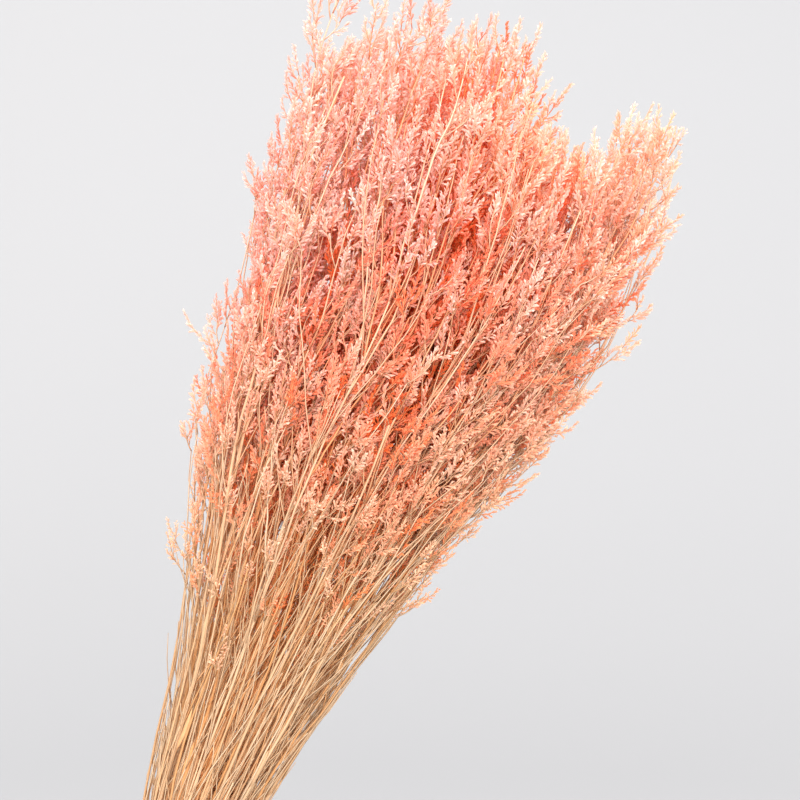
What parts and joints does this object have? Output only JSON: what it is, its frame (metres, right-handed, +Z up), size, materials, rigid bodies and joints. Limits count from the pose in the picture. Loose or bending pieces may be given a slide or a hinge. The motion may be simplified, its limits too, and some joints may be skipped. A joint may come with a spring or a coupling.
{
  "type": "dried love grass in vase",
  "caption": "Full leaning bunch of peach-pink dyed dried love grass sprays, standing in a plain off-white ceramic bottle vase, for display on a table or shelf.",
  "frame": {"origin": "centre of the vase's foot, on the face that it rests on", "axes": "+Z up along the vase's axis, +X towards the side that the bunch leans to, -Y towards the viewer"},
  "size_m": [0.3561, 0.1797, 0.6745],
  "materials": {
    "vase_ceramic": "plain off-white, satin",
    "dyed_grass": "dry matt stems and florets, straw at the foot and peach-pink above"
  },
  "bodies": {
    "root": {"vase": "vase_ceramic", "spray_01": "dyed_grass", "spray_02": "dyed_grass", "spray_03": "dyed_grass", "spray_04": "dyed_grass", "spray_05": "dyed_grass", "spray_06": "dyed_grass", "spray_07": "dyed_grass", "spray_08": "dyed_grass", "spray_09": "dyed_grass", "spray_10": "dyed_grass", "spray_11": "dyed_grass", "spray_12": "dyed_grass", "spray_13": "dyed_grass", "spray_14": "dyed_grass", "spray_15": "dyed_grass", "spray_16": "dyed_grass", "spray_17": "dyed_grass", "spray_18": "dyed_grass", "spray_19": "dyed_grass", "spray_20": "dyed_grass", "spray_21": "dyed_grass", "spray_22": "dyed_grass", "spray_23": "dyed_grass", "spray_24": "dyed_grass", "spray_25": "dyed_grass", "spray_26": "dyed_grass", "spray_27": "dyed_grass", "spray_28": "dyed_grass", "spray_29": "dyed_grass", "spray_30": "dyed_grass", "spray_31": "dyed_grass", "spray_32": "dyed_grass", "spray_33": "dyed_grass", "spray_34": "dyed_grass"}
  },
  "joints": []
}
